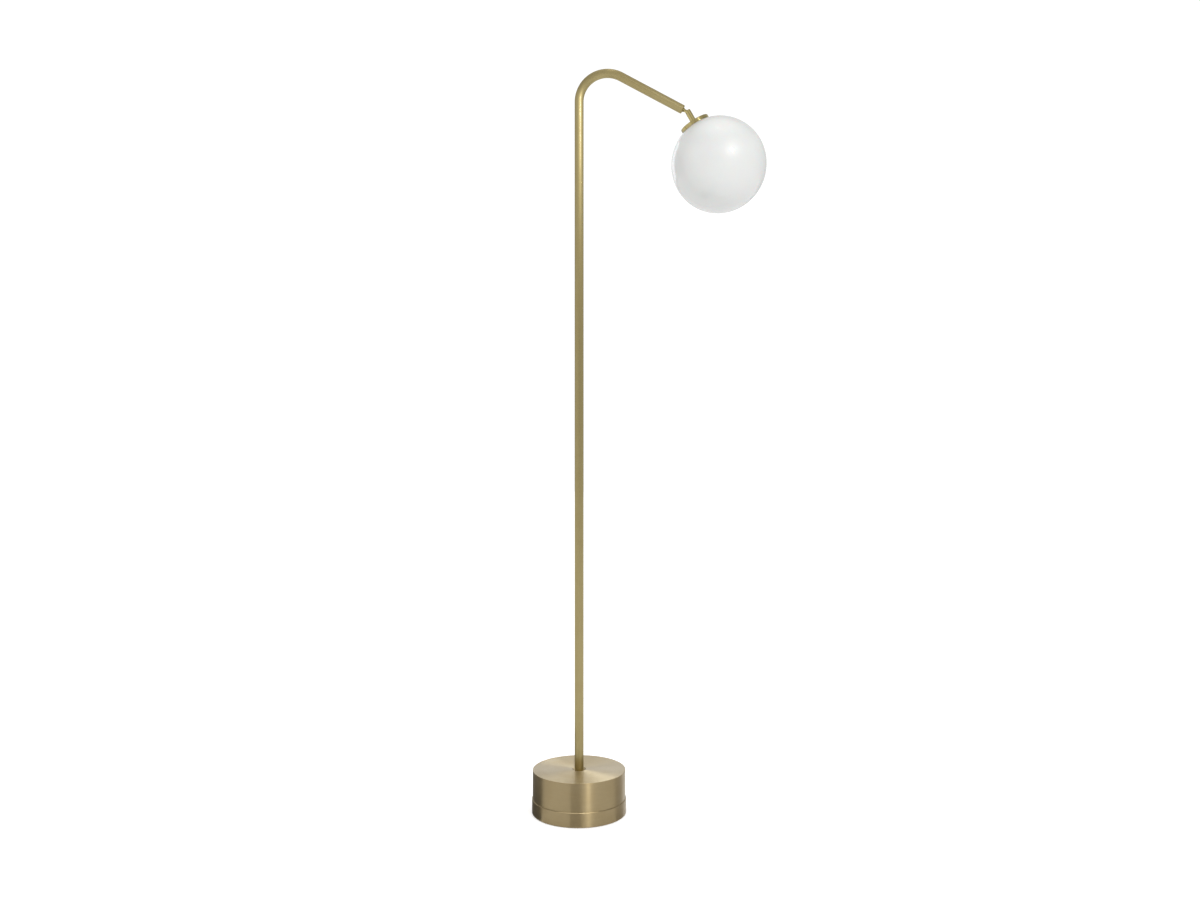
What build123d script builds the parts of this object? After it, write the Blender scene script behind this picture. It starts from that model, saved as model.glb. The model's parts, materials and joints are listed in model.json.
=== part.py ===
from build123d import *
import os
from math import acos, asin, cos, degrees, radians, sin, sqrt, tan

# A globe floor lamp: a weighted drum base, one bent brass tube for post and arm, and an
# opal glass globe that hangs from a small slotted ball joint at the end of the arm.
# Millimetres. The origin is on the floor at the centre of the base, +Z is up, the arm
# reaches along +X and the cable inlet is at the back, on +Y.

# ------------------------------------------------------------------ driving sizes

# Base, from the floor up
foot_diameter = 198.0  # turned ring at the floor
foot_height = 31.0  # floor to the seam under the drum
foot_wall = 8.0
foot_chamfer = 1.0
floor_gap = 1.0  # the ring's lower edge is lifted by the pad
pad_thickness = 3.0
pad_margin = 3.0  # the pad stops this far inside the ballast's edge
drum_step = 1.5  # the drum's side stands this far inside the ring's
base_height = 90.0  # floor to the drum's top
drum_wall = 2.0
drum_top_thickness = 5.0
drum_edge = 0.4  # broken edge round the drum's top
recess_diameter = 30.0  # countersunk recess round the post
recess_depth = 4.0
lip_height = 5.0  # the ring's lip that centres the drum
flange_width = 4.0  # the ballast's flange, under the ring
flange_thickness = 5.0
ballast_top = 38.0
slip_clearance = 0.3  # turned pieces that drop into one another

# Screws of the base
pillar_count = 3
pillar_circle_radius = 60.0
pillar_radius = 6.0
base_screw_radius = 3.0
base_screw_head_radius = 5.0
base_screw_head_height = 6.0
base_screw_pocket = 8.0  # depth of the pocket for each head
base_screw_grip = 18.0  # thread inside the pillar
thread_clearance = 0.05
shank_clearance = 0.3

# Post and arm: one tube
tube_diameter = 19.0
tube_wall = 1.5
tube_seat_depth = 8.0  # how far the tube stands in the ballast
bend_start_height = 1496.0
bend_radius = 60.0  # to the centre line
arm_slope = 28.0  # degrees below the horizontal
arm_length = 147.0  # straight part after the bend
tube_end_chamfer = 0.5
foot_plug_length = 20.0
post_bolt_radius = 5.0
post_bolt_head_radius = 8.0
post_bolt_head_height = 10.0
post_bolt_grip = 16.0  # thread inside the foot plug
post_washer_radius = 16.0
post_washer_thickness = 2.5
post_bolt_pocket = 16.0

# Wiring
wire_radius = 1.5
wire_clearance = 0.4
wire_inlet_bend = 14.0  # bend from the terminal block towards the window
wire_window_bend = 45.0  # bend from the window up the post
window_height = 18.0  # slot in the back of the post, for the wire
window_width = 6.0
window_centre_height = 65.0
gland_height = 56.0  # centre of the cable inlet above the floor
gland_bore_radius = 3.6
gland_thread_radius = 4.9
gland_flange_radius = 8.0
gland_flange_thickness = 3.0
gland_collar_length = 4.0
gland_tail_length = 9.0
gland_nut_thickness = 4.0
block_width = 22.0
block_depth = 16.0
block_height = 13.0
block_distance = 52.0  # from the post to the terminal block
block_hole_radius = 2.0
block_pole_pitch = 7.0
block_screw_radius = 1.5
block_screw_head_radius = 3.0
block_screw_head_height = 2.0
block_screw_sink = 3.0  # the head's recess in the block
block_screw_grip = 4.0  # thread in the ballast
block_screw_depth = 8.0
earth_screw_radius = 2.0
earth_screw_head_radius = 4.0
earth_screw_head_height = 3.0
earth_screw_grip = 7.5
earth_screw_depth = 10.0
earth_screw_offset = 30.0  # beside the terminal block

# Swivel in the end of the arm
ball_reach = 14.3  # tube end to the centre of the ball
arm_plug_length = 20.0
arm_plug_flange = 1.2
arm_plug_step = 0.6  # the flange is this much smaller than the tube
neck_radius = 3.3
running_clearance = 0.05
face_clearance = 0.1
collar_radius = 5.0
collar_length = 3.5
stud_thread_radius = 2.95
stop_washer_radius = 4.4
stop_washer_thickness = 1.5
stop_tab_reach = 6.4
stop_tab_width = 1.6
stop_pin_radius = 0.8
stop_pin_offset = 5.6
stop_pin_grip = 6.0
swivel_spring_radius = 6.0
swivel_spring_count = 2
swivel_nut_flat = 5.5  # half the width across flats
swivel_nut_thickness = 4.0
stud_tail = 2.0  # thread past the nut

# Slotted ball joint
head_slope = 60.0  # degrees below the horizontal
ball_radius = 4.85
seat_clearance = 0.15
socket_wall = 1.25
socket_cover = 5.2  # the socket's top, past the centre of the ball
socket_edge = 0.8
slot_clearance = 0.2
cup_height = 7.9
spring_count = 2
spring_thickness = 0.6
spring_cone = 0.65
nipple_bore_radius = 3.0
nipple_proud = 1.5  # how far the nipple stands into the lampholder

# Globe and its cap
globe_diameter = 200.0
glass_wall = 3.0
globe_reach = 127.0  # centre of the ball to the centre of the globe
glass_neck_radius = 26.0
cap_diameter = 64.0
cap_depth = 8.0
cap_plate = 2.0
cap_edge = 0.8
rim_clearance = 0.3
gasket_thickness = 1.0
neck_ring_wall = 3.0
neck_ring_clearance = 0.1
cap_nut_flat = 7.0
cap_nut_thickness = 4.0

# Lampholder and bulb
holder_radius = 14.0
holder_wall = 1.6
holder_top_thickness = 2.0
holder_shoulder = 3.0
holder_length = 40.0
wire_room = 4.0  # above the ceramic core
core_thickness = 8.0
contact_radius = 2.5
contact_height = 1.5
screw_shell_wall = 0.35
screw_shell_length = 18.0
bulb_cap_radius = 6.9
bulb_tip_radius = 2.4
bulb_tip_height = 2.0
bulb_cap_length = 18.5
bulb_collar_radius = 9.0
bulb_radius = 22.5
bulb_length = 78.0
bulb_round = 120.0  # degrees of the envelope's outline, from its tip, that stay round

# ------------------------------------------------------------------ derived sizes

foot_radius = foot_diameter / 2
drum_radius = foot_radius - drum_step
drum_bore = drum_radius - drum_wall
foot_bore = foot_radius - foot_wall
flange_radius = foot_bore + flange_width
ballast_bottom = pad_thickness
flange_top = ballast_bottom + flange_thickness
drum_ceiling = base_height - drum_top_thickness

block_side = -block_pole_pitch  # one of the two poles is in line with the post
tube_radius = tube_diameter / 2
tube_bore = tube_radius - tube_wall
tube_foot = ballast_top - tube_seat_depth
bend_turn = 90 + arm_slope
bend_tangent = bend_radius * tan(radians(bend_turn / 2))
bend_corner = Vector(0, 0, bend_start_height + bend_tangent)
arm_direction = Vector(cos(radians(arm_slope)), 0, -sin(radians(arm_slope)))
arm_end = bend_corner + arm_direction * (bend_tangent + arm_length)

ball_centre = arm_end + arm_direction * ball_reach
head_direction = Vector(cos(radians(head_slope)), 0, -sin(radians(head_slope)))
globe_centre = ball_centre + head_direction * globe_reach
globe_radius = globe_diameter / 2

# Both frames have their origin at the ball: x runs along the arm or along the head,
# y is the radius of a turned piece, and z is across the lamp.
arm_frame = Plane(origin=ball_centre, x_dir=arm_direction, z_dir=(0, -1, 0))
head_frame = Plane(origin=ball_centre, x_dir=head_direction, z_dir=(0, -1, 0))
arm_axis = Axis(ball_centre, arm_direction)
head_axis = Axis(ball_centre, head_direction)

# Stations along the arm, from the centre of the ball
tube_mouth = -ball_reach
plug_face = tube_mouth + arm_plug_flange
plug_inner_end = tube_mouth - arm_plug_length
collar_base = plug_face + face_clearance
stop_washer_face = plug_inner_end - face_clearance
stop_washer_back = stop_washer_face - stop_washer_thickness
spring_pitch = spring_thickness + spring_cone
nut_face = stop_washer_back - swivel_spring_count * spring_pitch
nut_back = nut_face - swivel_nut_thickness
stud_end = nut_back - stud_tail

# Stations along the head, from the centre of the ball
socket_bore = ball_radius + seat_clearance
socket_radius = socket_bore + socket_wall
slot_radius = neck_radius + slot_clearance
nipple_radius = socket_bore - thread_clearance
cup_top = slot_radius + face_clearance
cup_bottom = cup_top + cup_height
nipple_top = cup_bottom + spring_count * spring_pitch
cap_radius = cap_diameter / 2
cap_rim = globe_reach - sqrt(globe_radius**2 - cap_radius**2)
cap_top = cap_rim - cap_depth
cap_underside = cap_top + cap_plate
glass_neck_top = cap_underside + gasket_thickness
glass_neck_bore = glass_neck_radius - glass_wall
neck_ring_radius = glass_neck_radius + neck_ring_wall
neck_ring_foot = globe_reach - sqrt((globe_radius + neck_ring_clearance) ** 2 - glass_neck_radius**2)
holder_top = cap_underside + cap_nut_thickness
holder_ceiling = holder_top + holder_top_thickness
holder_mouth = holder_top + holder_length
nipple_end = holder_ceiling + nipple_proud
core_top = holder_ceiling + wire_room
core_bottom = core_top + core_thickness
bulb_tip = core_bottom + contact_height
bulb_skirt = bulb_tip + bulb_tip_height
bulb_base = bulb_tip + bulb_cap_length
bulb_centre = bulb_tip + bulb_length - bulb_radius


# ------------------------------------------------------------------ shared shapes


def profile(plane, *points):
    """A flat face with straight sides through these points of the plane."""
    with BuildSketch(plane) as flat:
        with BuildLine():
            Polyline(*points, close=True)
        make_face()
    return flat.sketch


def arm_section(station):
    """The plane square to the arm at this station, with its y upwards."""
    return Plane(origin=ball_centre + arm_direction * station, x_dir=(0, 1, 0), z_dir=arm_direction)


def head_section(station):
    """The plane square to the head's axis at this station."""
    return Plane(origin=ball_centre + head_direction * station, x_dir=(0, 1, 0), z_dir=head_direction)


def swing_room(frame, side, radius, reach):
    """The room of a round rod that pivots at the frame's origin through a quarter turn,
    from the frame's x, forwards or backwards as side says, to its negative y."""
    with BuildPart() as room:
        with BuildSketch(frame):
            with Locations((side * reach / 2, -reach / 2)):
                Rectangle(reach, reach)
        extrude(amount=radius, both=True)
        with BuildSketch(Plane(origin=frame.origin, z_dir=frame.x_dir * side)):
            Circle(radius)
        extrude(amount=reach)
        with BuildSketch(Plane(origin=frame.origin, z_dir=frame.y_dir * -1)):
            Circle(radius)
        extrude(amount=reach)
    return room.part


def disc_springs(frame, axis, start, step, count, bore, rim):
    """A stack of disc springs set cone to cone, from start and on by step each."""
    lean = spring_cone if step > 0 else -spring_cone
    sheet = spring_thickness if step > 0 else -spring_thickness
    with BuildPart() as stack:
        for number in range(count):
            foot = start + number * step
            inner, outer = (foot, foot + lean) if number % 2 == 0 else (foot + lean, foot)
            revolve(
                profile(frame, (inner, bore), (inner + sheet, bore), (outer + sheet, rim), (outer, rim)),
                axis=axis,
            )
    return stack.part


# ------------------------------------------------------------------ base

with BuildPart() as foot_pad:
    with BuildSketch():
        Circle(flange_radius - pad_margin)
    extrude(amount=pad_thickness)

with BuildPart() as base_ring:
    with BuildSketch(Plane.XZ):
        with BuildLine():
            Polyline(
                (flange_radius, floor_gap),
                (foot_radius, floor_gap),
                (foot_radius, foot_height - foot_chamfer),
                (foot_radius - foot_chamfer, foot_height),
                (drum_bore - slip_clearance, foot_height),
                (drum_bore - slip_clearance, foot_height + lip_height),
                (foot_bore, foot_height + lip_height),
                (foot_bore, flange_top),
                (flange_radius, flange_top),
                close=True,
            )
        make_face()
    revolve(axis=Axis.Z)

with BuildPart() as ballast_disc:
    with BuildSketch(Plane.XZ):
        with BuildLine():
            Polyline(
                (0, ballast_bottom),
                (flange_radius - slip_clearance, ballast_bottom),
                (flange_radius - slip_clearance, flange_top),
                (foot_bore - slip_clearance, flange_top),
                (foot_bore - slip_clearance, ballast_top),
                (0, ballast_top),
                close=True,
            )
        make_face()
    revolve(axis=Axis.Z)
    # Seat of the tube, from above, and the bolt's pocket and hole, from below
    with BuildSketch(Plane.XY.offset(ballast_top)):
        Circle(tube_radius + running_clearance)
    extrude(amount=-tube_seat_depth, mode=Mode.SUBTRACT)
    with Locations(Plane(origin=(0, 0, ballast_bottom), z_dir=(0, 0, -1))):
        CounterBoreHole(
            radius=post_bolt_radius + shank_clearance,
            counter_bore_radius=post_washer_radius + shank_clearance,
            counter_bore_depth=post_bolt_pocket,
        )
    # Pockets and holes of the screws that pull the drum down
    with BuildSketch(Plane.XY.offset(ballast_bottom)):
        with PolarLocations(pillar_circle_radius, pillar_count, start_angle=-90):
            Circle(base_screw_head_radius + shank_clearance)
    extrude(amount=base_screw_pocket, mode=Mode.SUBTRACT)
    with BuildSketch(Plane.XY.offset(ballast_bottom)):
        with PolarLocations(pillar_circle_radius, pillar_count, start_angle=-90):
            Circle(base_screw_radius + shank_clearance)
    extrude(amount=ballast_top - ballast_bottom, mode=Mode.SUBTRACT)
    # Tapped holes beside the terminal block
    with Locations((block_side, block_distance, ballast_top)):
        Hole(radius=block_screw_radius, depth=block_screw_depth)
    with Locations((earth_screw_offset, block_distance, ballast_top)):
        Hole(radius=earth_screw_radius, depth=earth_screw_depth)

with BuildPart() as base_drum:
    with BuildSketch(Plane.XZ):
        with BuildLine():
            Polyline(
                (drum_bore, foot_height),
                (drum_radius, foot_height),
                (drum_radius, base_height - drum_edge),
                (drum_radius - drum_edge, base_height),
                (recess_diameter / 2, base_height),
                (tube_radius + slip_clearance, base_height - recess_depth),
                (tube_radius + slip_clearance, drum_ceiling),
                (drum_bore - drum_wall, drum_ceiling),
                (drum_bore, drum_ceiling - drum_wall),
                close=True,
            )
        make_face()
    revolve(axis=Axis.Z)
    with Locations(Plane(origin=(0, drum_radius, gland_height), z_dir=(0, 1, 0))):
        Hole(radius=gland_thread_radius + thread_clearance, depth=2 * drum_wall)

with BuildPart() as drum_pillars:
    with BuildSketch(Plane.XY.offset(ballast_top)):
        with PolarLocations(pillar_circle_radius, pillar_count, start_angle=-90):
            Circle(pillar_radius)
    extrude(amount=drum_ceiling - ballast_top)
    with BuildSketch(Plane.XY.offset(ballast_top)):
        with PolarLocations(pillar_circle_radius, pillar_count, start_angle=-90):
            Circle(base_screw_radius)
    extrude(amount=base_screw_grip + thread_clearance, mode=Mode.SUBTRACT)

with BuildPart() as base_screws:
    head_top = ballast_bottom + base_screw_pocket
    with BuildSketch(Plane.XY.offset(head_top)):
        with PolarLocations(pillar_circle_radius, pillar_count, start_angle=-90):
            Circle(base_screw_head_radius)
    extrude(amount=-base_screw_head_height)
    with BuildSketch(Plane.XY.offset(head_top)):
        with PolarLocations(pillar_circle_radius, pillar_count, start_angle=-90):
            Circle(base_screw_radius - thread_clearance)
    extrude(amount=ballast_top + base_screw_grip - head_top)
    # Hexagon sockets in the heads
    with BuildSketch(Plane.XY.offset(head_top - base_screw_head_height)):
        with PolarLocations(pillar_circle_radius, pillar_count, start_angle=-90):
            RegularPolygon(base_screw_head_radius / 2, 6)
    extrude(amount=base_screw_head_height / 2, mode=Mode.SUBTRACT)

# ------------------------------------------------------------------ post and arm

with BuildPart() as post_tube:
    with BuildLine():
        FilletPolyline((0, 0, tube_foot), bend_corner, arm_end, radius=bend_radius)
    with BuildSketch(Plane.XY.offset(tube_foot)):
        Circle(tube_radius)
        Circle(tube_bore, mode=Mode.SUBTRACT)
    sweep()
    mouth = post_tube.faces().filter_by(GeomType.PLANE).sort_by(Axis.X)[-1]
    chamfer(mouth.outer_wire().edges(), length=tube_end_chamfer)
    # Window at the back of the post, inside the drum, where the wire goes in
    with BuildSketch(Plane(origin=(0, tube_radius, window_centre_height), x_dir=(0, 0, 1), z_dir=(0, 1, 0))):
        SlotOverall(window_height, window_width)
    extrude(amount=-tube_radius, mode=Mode.SUBTRACT)

with BuildPart() as foot_plug:
    with BuildSketch(Plane.XY.offset(tube_foot)):
        Circle(tube_bore - running_clearance)
        Circle(post_bolt_radius, mode=Mode.SUBTRACT)
    extrude(amount=foot_plug_length)

washer_top = ballast_bottom + post_bolt_pocket
with BuildPart() as post_washer:
    with BuildSketch(Plane.XY.offset(washer_top)):
        Circle(post_washer_radius)
        Circle(post_bolt_radius + shank_clearance, mode=Mode.SUBTRACT)
    extrude(amount=-post_washer_thickness)

with BuildPart() as post_bolt:
    head_face = washer_top - post_washer_thickness
    with BuildSketch(Plane.XY.offset(head_face)):
        Circle(post_bolt_head_radius)
    extrude(amount=-post_bolt_head_height)
    with BuildSketch(Plane.XY.offset(head_face)):
        Circle(post_bolt_radius - thread_clearance)
    extrude(amount=tube_foot + post_bolt_grip - head_face)
    with BuildSketch(Plane.XY.offset(head_face - post_bolt_head_height)):
        RegularPolygon(post_bolt_head_radius / 2, 6)
    extrude(amount=post_bolt_head_height / 2, mode=Mode.SUBTRACT)

# ------------------------------------------------------------------ cable inlet and wiring

gland_frame = Plane(origin=(0, drum_radius, gland_height), x_dir=(0, 1, 0), z_dir=(1, 0, 0))
gland_axis = Axis((0, drum_radius, gland_height), (0, 1, 0))
gland_front = gland_flange_thickness + gland_collar_length

with BuildPart() as cable_gland:
    with BuildSketch(gland_frame):
        with BuildLine():
            Polyline(
                (-gland_tail_length, gland_bore_radius),
                (gland_front, gland_bore_radius),
                (gland_front, gland_thread_radius),
                (gland_flange_thickness, (gland_thread_radius + gland_flange_radius) / 2),
                (gland_flange_thickness, gland_flange_radius),
                (0, gland_flange_radius),
                (0, gland_thread_radius),
                (-gland_tail_length, gland_thread_radius),
                close=True,
            )
        make_face()
    revolve(axis=gland_axis)

# The nut's flat face meets the curved inside of the drum at the nut's own corners
gland_nut_seat = sqrt(drum_bore**2 - gland_flange_radius**2) - drum_radius
with BuildPart() as gland_nut:
    with BuildSketch(Plane(origin=(0, drum_radius + gland_nut_seat, gland_height), z_dir=(0, 1, 0))):
        RegularPolygon(gland_flange_radius, 6)
        Circle(gland_thread_radius + thread_clearance, mode=Mode.SUBTRACT)
    extrude(amount=-gland_nut_thickness)

with BuildPart() as terminal_block:
    with BuildSketch(Plane.XY.offset(ballast_top)):
        with Locations((block_side, block_distance)):
            Rectangle(block_width, block_depth)
    extrude(amount=block_height)
    chamfer(terminal_block.edges().group_by(Axis.Z)[-1], length=block_hole_radius / 2)
    # Wire tunnels from front to back beside the fixing hole, and the wells of the clamp screws
    tunnel_centre = (block_side, block_distance, ballast_top + block_height / 2)
    with BuildSketch(Plane(origin=tunnel_centre, z_dir=(0, 1, 0))):
        with GridLocations(2 * block_pole_pitch, 0, 2, 1):
            Circle(block_hole_radius)
    extrude(amount=block_depth / 2, both=True, mode=Mode.SUBTRACT)
    with BuildSketch(Plane.XY.offset(ballast_top + block_height)):
        with Locations((block_side, block_distance)):
            with GridLocations(2 * block_pole_pitch, block_depth / 2, 2, 2):
                Circle(block_hole_radius)
    extrude(amount=-block_height / 2, mode=Mode.SUBTRACT)
    with Locations((block_side, block_distance, ballast_top + block_height)):
        CounterBoreHole(
            radius=block_screw_radius + thread_clearance,
            counter_bore_radius=block_screw_head_radius + shank_clearance,
            counter_bore_depth=block_screw_sink,
            depth=block_height,
        )

block_screw_seat = ballast_top + block_height - block_screw_sink
with BuildPart() as block_screw:
    with BuildSketch(Plane.XY.offset(block_screw_seat)):
        with Locations((block_side, block_distance)):
            Circle(block_screw_head_radius)
    extrude(amount=block_screw_head_height)
    with BuildSketch(Plane.XY.offset(block_screw_seat)):
        with Locations((block_side, block_distance)):
            Circle(block_screw_radius - thread_clearance)
    extrude(amount=ballast_top - block_screw_seat - block_screw_grip)

with BuildPart() as earth_screw:
    with BuildSketch(Plane.XY.offset(ballast_top)):
        with Locations((earth_screw_offset, block_distance)):
            Circle(earth_screw_head_radius)
    extrude(amount=earth_screw_head_height)
    with BuildSketch(Plane.XY.offset(ballast_top)):
        with Locations((earth_screw_offset, block_distance)):
            Circle(earth_screw_radius - thread_clearance)
    extrude(amount=-earth_screw_grip)

# One wire runs from the terminal block up the tube, round the bend and down the arm to the
# pivot, where its rounded end meets the run inside the head.
wire_start = Vector(0, block_distance - block_depth / 2, ballast_top + block_height / 2)
wire_rise = window_centre_height - wire_start.Z
wire_turn_in = Vector(0, wire_start.Y / 2, wire_start.Z)
wire_turn_up = Vector(0, 0, window_centre_height + wire_rise / 2)
with BuildPart() as post_wire:
    with BuildLine():
        FilletPolyline(
            wire_start,
            wire_turn_in,
            wire_turn_up,
            bend_corner,
            ball_centre,
            radius=[wire_inlet_bend, wire_window_bend, bend_radius],
        )
    with BuildSketch(Plane(origin=wire_start, z_dir=(0, -1, 0))):
        Circle(wire_radius)
    sweep()
    with Locations(ball_centre):
        Sphere(wire_radius)

with BuildPart() as head_wire:
    with BuildSketch(head_section(wire_radius + face_clearance)):
        Circle(wire_radius)
    extrude(amount=core_top - wire_radius - face_clearance)

# ------------------------------------------------------------------ swivel in the arm's end

with BuildPart() as arm_plug:
    revolve(
        profile(
            arm_frame,
            (plug_inner_end, neck_radius + running_clearance),
            (plug_face, neck_radius + running_clearance),
            (plug_face, tube_radius - 2 * arm_plug_step),
            (plug_face - arm_plug_step, tube_radius - arm_plug_step),
            (tube_mouth, tube_radius - arm_plug_step),
            (tube_mouth, tube_bore - running_clearance),
            (plug_inner_end, tube_bore - running_clearance),
        ),
        axis=arm_axis,
    )
    with BuildSketch(arm_section(plug_inner_end)):
        with Locations((0, stop_pin_offset)):
            Circle(stop_pin_radius)
    extrude(amount=stop_pin_grip, mode=Mode.SUBTRACT)

with BuildPart() as stop_pin:
    with BuildSketch(arm_section(stop_washer_back + 2 * face_clearance)):
        with Locations((0, stop_pin_offset)):
            Circle(stop_pin_radius)
    extrude(amount=plug_inner_end + stop_pin_grip - stop_washer_back - 2 * face_clearance)

# The washer turns with the stud, and its tab meets the pin at either end of the swivel
with BuildPart() as stop_washer:
    with BuildSketch(arm_section(stop_washer_back)):
        Circle(stop_washer_radius)
        with Locations((0, -stop_tab_reach / 2)):
            Rectangle(stop_tab_width, stop_tab_reach)
        Circle(stud_thread_radius + thread_clearance, mode=Mode.SUBTRACT)
    extrude(amount=stop_washer_thickness)

with BuildPart() as swivel_springs:
    add(
        disc_springs(
            arm_frame,
            arm_axis,
            stop_washer_back,
            -spring_pitch,
            swivel_spring_count,
            stud_thread_radius + thread_clearance,
            swivel_spring_radius,
        )
    )

with BuildPart() as swivel_nut:
    with BuildSketch(arm_section(nut_back)):
        RegularPolygon(swivel_nut_flat, 6, major_radius=False)
        Circle(stud_thread_radius + thread_clearance, mode=Mode.SUBTRACT)
    extrude(amount=swivel_nut_thickness)

with BuildPart() as swivel_collar:
    revolve(
        profile(
            arm_frame,
            (collar_base, neck_radius),
            (collar_base, collar_radius),
            (collar_base + collar_length, neck_radius + running_clearance),
            (collar_base + collar_length, neck_radius),
        ),
        axis=arm_axis,
    )

# ------------------------------------------------------------------ slotted ball joint

neck_angle = 180 - degrees(asin(neck_radius / ball_radius))
wire_slot_radius = wire_radius + wire_clearance
wire_room_in_ball = swing_room(arm_frame, 1, wire_slot_radius, 2 * ball_radius)

with BuildPart() as swivel_stud:
    with BuildSketch(arm_frame):
        with BuildLine():
            ball = CenterArc((0, 0), ball_radius, 0, neck_angle)
            Polyline(
                ball @ 1,
                (stop_washer_face, neck_radius),
                (stop_washer_face, stud_thread_radius),
                (stud_end, stud_thread_radius),
                (stud_end, 0),
                ball @ 0,
            )
        make_face()
    revolve(axis=arm_axis)
    with BuildSketch(arm_section(stud_end)):
        Circle(wire_slot_radius)
    extrude(amount=-stud_end, mode=Mode.SUBTRACT)
    add(wire_room_in_ball, mode=Mode.SUBTRACT)

# The neck swings a quarter turn in the socket's slot: from the top, where the head hangs in
# line with the arm, to the side, where it hangs square to it.
neck_room = swing_room(head_frame, -1, slot_radius, 2 * socket_radius)
seat_turn = degrees(acos(slot_radius / socket_bore))

with BuildPart() as ball_socket:
    with BuildSketch(head_frame):
        with BuildLine():
            seat = CenterArc((0, 0), socket_bore, 90, seat_turn)
            Polyline(
                seat @ 1,
                (-socket_cover, slot_radius),
                (-socket_cover, socket_radius - socket_edge),
                (-socket_cover + socket_edge, socket_radius),
                (cap_top, socket_radius),
                (cap_top, socket_bore),
                seat @ 0,
            )
        make_face()
    revolve(axis=head_axis)
    add(neck_room, mode=Mode.SUBTRACT)

cup_bore = wire_slot_radius + wire_clearance
with BuildPart() as friction_cup:
    with BuildSketch(head_section(cup_top)):
        Circle(nipple_radius)
        Circle(cup_bore, mode=Mode.SUBTRACT)
    extrude(amount=cup_height)
    with Locations(ball_centre):
        Sphere(socket_bore, mode=Mode.SUBTRACT)

with BuildPart() as friction_springs:
    add(
        disc_springs(
            head_frame,
            head_axis,
            cup_bottom,
            spring_pitch,
            spring_count,
            nipple_bore_radius,
            nipple_radius - thread_clearance,
        )
    )

with BuildPart() as socket_nipple:
    with BuildSketch(head_section(nipple_top)):
        Circle(nipple_radius)
        Circle(nipple_bore_radius, mode=Mode.SUBTRACT)
    extrude(amount=nipple_end - nipple_top)

# ------------------------------------------------------------------ cap and globe

with BuildPart() as gallery_cap:
    revolve(
        profile(
            head_frame,
            (cap_top, socket_bore),
            (cap_top, cap_radius - cap_edge),
            (cap_top + cap_edge, cap_radius),
            (cap_rim, cap_radius),
            (cap_rim, neck_ring_radius + thread_clearance),
            (cap_underside, neck_ring_radius + thread_clearance),
            (cap_underside, socket_bore),
        ),
        axis=head_axis,
    )
    # The rim follows the globe
    with Locations(globe_centre):
        Sphere(globe_radius + rim_clearance, mode=Mode.SUBTRACT)

with BuildPart() as cap_nut:
    with BuildSketch(head_section(cap_underside)):
        RegularPolygon(cap_nut_flat, 6, major_radius=False)
        Circle(socket_bore, mode=Mode.SUBTRACT)
    extrude(amount=cap_nut_thickness)

with BuildPart() as cap_gasket:
    with BuildSketch(head_section(cap_underside)):
        Circle(neck_ring_radius)
        Circle(glass_neck_bore, mode=Mode.SUBTRACT)
    extrude(amount=gasket_thickness)

with BuildPart() as neck_ring:
    with BuildSketch(head_section(glass_neck_top)):
        Circle(neck_ring_radius)
        Circle(glass_neck_radius, mode=Mode.SUBTRACT)
    extrude(amount=neck_ring_foot - glass_neck_top)
    with Locations(globe_centre):
        Sphere(globe_radius + neck_ring_clearance, mode=Mode.SUBTRACT)

glass_outer_turn = 180 - degrees(asin(glass_neck_radius / globe_radius))
glass_inner_turn = 180 - degrees(asin(glass_neck_bore / (globe_radius - glass_wall)))

with BuildPart() as opal_globe:
    with BuildSketch(head_frame):
        with BuildLine():
            outside = CenterArc((globe_reach, 0), globe_radius, 0, glass_outer_turn)
            inside = CenterArc((globe_reach, 0), globe_radius - glass_wall, 0, glass_inner_turn)
            Polyline(
                outside @ 1,
                (glass_neck_top, glass_neck_radius),
                (glass_neck_top, glass_neck_bore),
                inside @ 1,
            )
            Line(inside @ 0, outside @ 0)
        make_face()
    revolve(axis=head_axis)

# ------------------------------------------------------------------ lampholder and bulb

with BuildPart() as lampholder_shell:
    revolve(
        profile(
            head_frame,
            (holder_top, socket_bore),
            (holder_top, holder_radius - holder_shoulder),
            (holder_top + holder_shoulder, holder_radius),
            (holder_mouth, holder_radius),
            (holder_mouth, holder_radius - holder_wall),
            (holder_ceiling + holder_shoulder, holder_radius - holder_wall),
            (holder_ceiling, holder_radius - holder_wall - holder_shoulder),
            (holder_ceiling, socket_bore),
        ),
        axis=head_axis,
    )

with BuildPart() as lampholder_core:
    with BuildSketch(head_section(core_top)):
        Circle(holder_radius - holder_wall - thread_clearance)
    extrude(amount=core_thickness)

with BuildPart() as lampholder_contact:
    with BuildSketch(head_section(core_bottom)):
        Circle(contact_radius)
    extrude(amount=contact_height)

with BuildPart() as screw_shell:
    with BuildSketch(head_section(core_bottom)):
        Circle(bulb_cap_radius + running_clearance + screw_shell_wall)
        Circle(bulb_cap_radius + running_clearance, mode=Mode.SUBTRACT)
    extrude(amount=screw_shell_length)

with BuildPart() as bulb_cap:
    revolve(
        profile(
            head_frame,
            (bulb_tip, 0),
            (bulb_tip, bulb_tip_radius),
            (bulb_skirt, bulb_cap_radius),
            (bulb_base, bulb_cap_radius),
            (bulb_base, 0),
        ),
        axis=head_axis,
    )

with BuildPart() as bulb_envelope:
    with BuildSketch(head_frame):
        with BuildLine():
            bulge = CenterArc((bulb_centre, 0), bulb_radius, 0, bulb_round)
            Polyline(bulge @ 1, (bulb_base, bulb_collar_radius), (bulb_base, 0), bulge @ 0)
        make_face()
    revolve(axis=head_axis)

# ------------------------------------------------------------------ the pieces, one file each

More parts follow.
